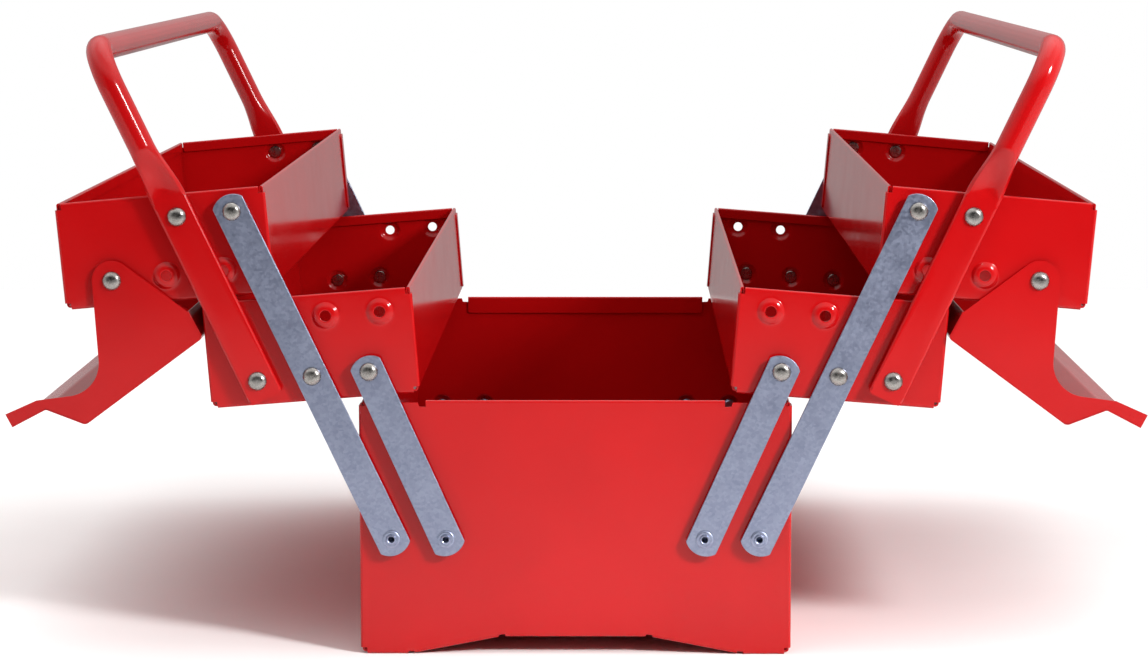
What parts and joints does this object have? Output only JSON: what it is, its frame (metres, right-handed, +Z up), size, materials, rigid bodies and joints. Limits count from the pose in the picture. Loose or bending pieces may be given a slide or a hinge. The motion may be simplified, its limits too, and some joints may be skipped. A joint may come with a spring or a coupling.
{
  "type": "cantilever toolbox with trays",
  "caption": "Cantilever toolbox in red enamelled sheet steel, shown open, with lidded upper trays, lower trays, strip links and tube handles.",
  "frame": {"origin": "on the floor, below the middle of the base", "axes": "+Z up, +X across the box to the right seen from its front, +Y along the box to its rear"},
  "size_m": [0.526, 0.4496, 0.2868],
  "materials": {
    "red_enamel": "gloss",
    "zinc_strip": "satin",
    "rivet": "polished"
  },
  "bodies": {
    "base": {"base_tub": "red_enamel", "base_end_front": "red_enamel", "base_end_rear": "red_enamel", "base_rivets_front": "rivet", "base_rivets_rear": "rivet"},
    "left_long_links": {"left_long_link_front": "zinc_strip", "left_long_link_rear": "zinc_strip"},
    "left_short_links": {"left_short_link_front": "zinc_strip", "left_short_link_rear": "zinc_strip"},
    "left_lower_tray": {"left_lower_trough": "red_enamel", "left_lower_end_front": "red_enamel", "left_lower_end_rear": "red_enamel", "left_lower_rivets_front": "rivet", "left_lower_rivets_rear": "rivet"},
    "left_upper_tray": {"left_upper_trough": "red_enamel", "left_upper_end_front": "red_enamel", "left_upper_end_rear": "red_enamel", "left_upper_rivets_front": "rivet", "left_upper_rivets_rear": "rivet", "left_lid_rivet_front": "rivet", "left_lid_rivet_rear": "rivet"},
    "left_handle": {"left_handle": "red_enamel"},
    "left_lid": {"left_lid_roof": "red_enamel", "left_lid_end_front": "red_enamel", "left_lid_end_rear": "red_enamel"},
    "right_long_links": {"right_long_link_front": "zinc_strip", "right_long_link_rear": "zinc_strip"},
    "right_short_links": {"right_short_link_front": "zinc_strip", "right_short_link_rear": "zinc_strip"},
    "right_lower_tray": {"right_lower_trough": "red_enamel", "right_lower_end_front": "red_enamel", "right_lower_end_rear": "red_enamel", "right_lower_rivets_front": "rivet", "right_lower_rivets_rear": "rivet"},
    "right_upper_tray": {"right_upper_trough": "red_enamel", "right_upper_end_front": "red_enamel", "right_upper_end_rear": "red_enamel", "right_upper_rivets_front": "rivet", "right_upper_rivets_rear": "rivet", "right_lid_rivet_front": "rivet", "right_lid_rivet_rear": "rivet"},
    "right_handle": {"right_handle": "red_enamel"},
    "right_lid": {"right_lid_roof": "red_enamel", "right_lid_end_front": "red_enamel", "right_lid_end_rear": "red_enamel"}
  },
  "joints": [
    {"name": "left_swing", "type": "hinge", "parent": "base", "child": "left_long_links", "pos_m": [-0.085, 0, 0.05501], "axis": [0, 1, 0], "range_deg": [0, 49.54]},
    {"name": "left_short_swing", "type": "hinge", "parent": "base", "child": "left_short_links", "pos_m": [-0.0598, 0, 0.05501], "axis": [0, 1, 0], "range_deg": [0, 49.12]},
    {"name": "left_lower_tray_pivot", "type": "hinge", "parent": "left_long_links", "child": "left_lower_tray", "pos_m": [-0.1209, 0, 0.13095], "axis": [0, 1, 0], "range_deg": [-45.15, 0]},
    {"name": "left_upper_tray_pivot", "type": "hinge", "parent": "left_long_links", "child": "left_upper_tray", "pos_m": [-0.15679, 0, 0.2069], "axis": [0, 1, 0], "range_deg": [-44.65, 0]},
    {"name": "left_handle_pivot", "type": "hinge", "parent": "left_upper_tray", "child": "left_handle", "pos_m": [-0.1817, 0, 0.20472], "axis": [0, 1, 0], "range_deg": [0, 44.7]},
    {"name": "left_lid_pivot", "type": "hinge", "parent": "left_upper_tray", "child": "left_lid", "pos_m": [-0.21252, 0, 0.17492], "axis": [0, 1, 0], "range_deg": [0, 202.8]},
    {"name": "right_swing", "type": "hinge", "parent": "base", "child": "right_long_links", "pos_m": [0.085, 0, 0.05501], "axis": [0, -1, 0], "range_deg": [0, 49.54]},
    {"name": "right_short_swing", "type": "hinge", "parent": "base", "child": "right_short_links", "pos_m": [0.0598, 0, 0.05501], "axis": [0, -1, 0], "range_deg": [0, 49.12]},
    {"name": "right_lower_tray_pivot", "type": "hinge", "parent": "right_long_links", "child": "right_lower_tray", "pos_m": [0.1209, 0, 0.13095], "axis": [0, -1, 0], "range_deg": [-45.15, 0]},
    {"name": "right_upper_tray_pivot", "type": "hinge", "parent": "right_long_links", "child": "right_upper_tray", "pos_m": [0.15679, 0, 0.2069], "axis": [0, -1, 0], "range_deg": [-44.65, 0]},
    {"name": "right_handle_pivot", "type": "hinge", "parent": "right_upper_tray", "child": "right_handle", "pos_m": [0.1817, 0, 0.20472], "axis": [0, -1, 0], "range_deg": [0, 44.7]},
    {"name": "right_lid_pivot", "type": "hinge", "parent": "right_upper_tray", "child": "right_lid", "pos_m": [0.21252, 0, 0.17492], "axis": [0, -1, 0], "range_deg": [0, 202.8]}
  ],
  "couplings": [
    {"joint": "left_short_swing", "follows": "left_swing", "ratio": 0.98955},
    {"joint": "left_lower_tray_pivot", "follows": "left_swing", "ratio": -0.90936},
    {"joint": "left_upper_tray_pivot", "follows": "left_swing", "ratio": -0.89926},
    {"joint": "left_handle_pivot", "follows": "left_swing", "ratio": 0.90032},
    {"joint": "left_lid_pivot", "follows": "left_swing", "ratio": 4.0916},
    {"joint": "right_short_swing", "follows": "right_swing", "ratio": 0.98955},
    {"joint": "right_lower_tray_pivot", "follows": "right_swing", "ratio": -0.90936},
    {"joint": "right_upper_tray_pivot", "follows": "right_swing", "ratio": -0.89926},
    {"joint": "right_handle_pivot", "follows": "right_swing", "ratio": 0.90032},
    {"joint": "right_lid_pivot", "follows": "right_swing", "ratio": 4.0916}
  ]
}
